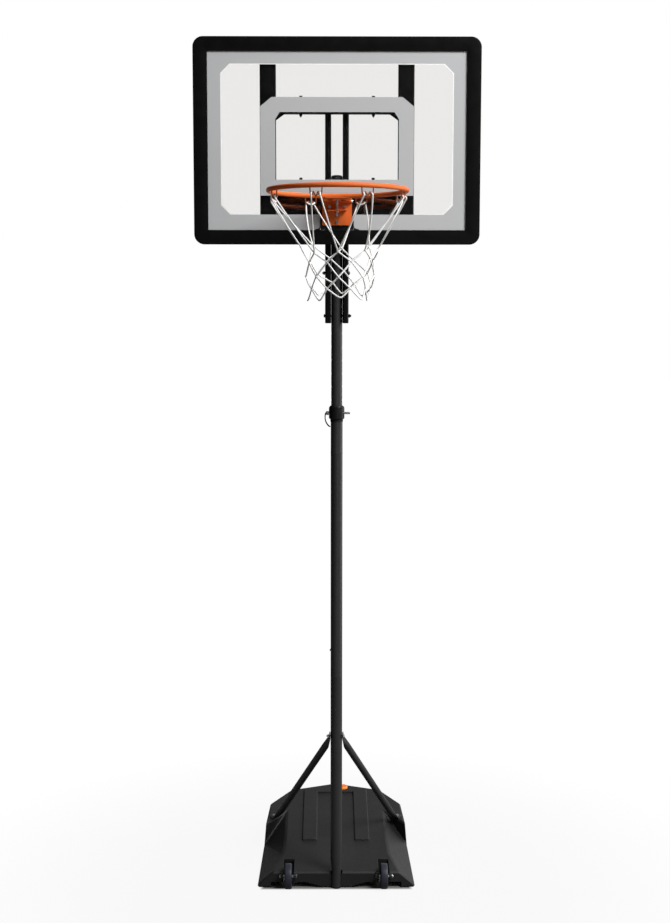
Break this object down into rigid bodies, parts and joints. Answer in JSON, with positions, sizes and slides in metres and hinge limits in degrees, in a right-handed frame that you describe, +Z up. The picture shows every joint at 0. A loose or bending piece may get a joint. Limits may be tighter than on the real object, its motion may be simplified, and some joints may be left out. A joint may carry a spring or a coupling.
{
  "type": "mini basketball hoop",
  "caption": "Portable mini basketball hoop: wheeled tank base, two-piece pole with struts, sliding upper pole, clear framed board, breakaway rim and net.",
  "frame": {"origin": "centre of the pole foot on the floor", "axes": "+Z up along the pole axis; the board faces -Y and the rim reaches out along -Y; +X is the right side as seen from the player"},
  "size_m": [0.84, 1.1331, 2.595],
  "materials": {
    "tank": "fine moulded grain",
    "cap": "moulded, satin",
    "rubber": "matte",
    "wheel": "moulded, satin",
    "zinc": "zinc plated",
    "spring": "bright wire",
    "pole": "satin black powder coat",
    "frame": "satin black paint",
    "plastic": "moulded, satin",
    "trim": "extruded, satin",
    "clear": "clear polycarbonate, polished",
    "rim": "satin orange powder coat",
    "net": "white braided cord"
  },
  "bodies": {
    "base": {"base_tank": "tank", "axle_left": "zinc", "axle_right": "zinc", "axle_push_nut_left": "zinc", "axle_push_nut_right": "zinc", "lower_pole": "pole", "pole_foot_plug": "plastic", "middle_pole": "pole", "pole_joint_screw": "zinc", "strut_left": "pole", "strut_right": "pole", "strut_bolt": "zinc", "strut_nut": "zinc", "strut_foot_bolt_left": "zinc", "strut_foot_bolt_right": "zinc", "height_collar": "plastic"},
    "wheel_body_left": {"wheel_left": "wheel"},
    "wheel_body_right": {"wheel_right": "wheel"},
    "mast": {"upper_pole": "pole", "pole_top_cap": "plastic", "board_strap_left": "frame", "board_strap_right": "frame", "strap_plug_left": "plastic", "strap_plug_right": "plastic", "strap_bolt_lower": "zinc", "strap_bolt_upper": "zinc", "strap_nut_lower": "zinc", "strap_nut_upper": "zinc", "frame_rail_left": "frame", "frame_rail_right": "frame", "frame_cross_upper": "frame", "frame_cross_lower": "frame", "frame_bolt_lower_left": "zinc", "frame_bolt_lower_right": "zinc", "frame_bolt_upper_left": "zinc", "frame_bolt_upper_right": "zinc", "board_panel": "clear", "board_trim": "trim", "trim_screw_1": "zinc", "trim_screw_2": "zinc", "trim_screw_3": "zinc", "trim_screw_4": "zinc", "rim_mount_pad": "plastic", "rim_back_plate": "rim", "spring_bracket": "rim", "rim_bolt_left": "zinc", "rim_bolt_right": "zinc", "rim_bolt_low": "zinc", "rim_bolt_high": "zinc", "rim_hinge_pin": "zinc", "spring_bolt": "zinc", "spring_bolt_nut": "zinc"},
    "rim": {"rim_ring": "rim", "net": "net", "rim_spring": "spring"},
    "pin": {"lock_pin": "zinc"},
    "bail": {"lock_pin_bail": "zinc"},
    "cap_lift": {"fill_cap_gasket": "rubber"},
    "cap_turn": {"fill_cap": "cap"}
  },
  "joints": [
    {"name": "wheel_spin_left", "type": "hinge", "parent": "base", "child": "wheel_body_left", "pos_m": [-0.15, -0.01, 0.0405], "axis": [1, 0, 0], "continuous": true},
    {"name": "wheel_spin_right", "type": "hinge", "parent": "base", "child": "wheel_body_right", "pos_m": [0.15, -0.01, 0.0405], "axis": [1, 0, 0], "continuous": true},
    {"name": "height_slide", "type": "slide", "parent": "base", "child": "mast", "axis": [0, 0, 1], "range_m": [-0.24, 0]},
    {"name": "rim_break", "type": "hinge", "parent": "mast", "child": "rim", "pos_m": [0, -0.0714, 2.123], "axis": [1, 0, 0], "range_deg": [0, 25], "stiffness_Nm_per_rad": 60, "springref_deg": -28.65, "deforming": ["rim_spring"]},
    {"name": "pin_pull", "type": "slide", "parent": "base", "child": "pin", "axis": [-1, 0, 0], "range_m": [0, 0.075]},
    {"name": "bail_swing", "type": "hinge", "parent": "pin", "child": "bail", "pos_m": [-0.02848, 0, 1.4959], "axis": [0, 1, 0], "range_deg": [0, 90]},
    {"name": "cap_rise", "type": "slide", "parent": "base", "child": "cap_lift", "axis": [0, 0, 1], "range_m": [0, 0.01]},
    {"name": "cap_unscrew", "type": "hinge", "parent": "cap_lift", "child": "cap_turn", "pos_m": [0.0235, 0.572, 0.11762], "axis": [0, 0, 1], "range_deg": [0, 900]}
  ],
  "couplings": [
    {"joint": "cap_rise", "follows": "cap_unscrew", "m_per_rad": 0.00063662}
  ]
}
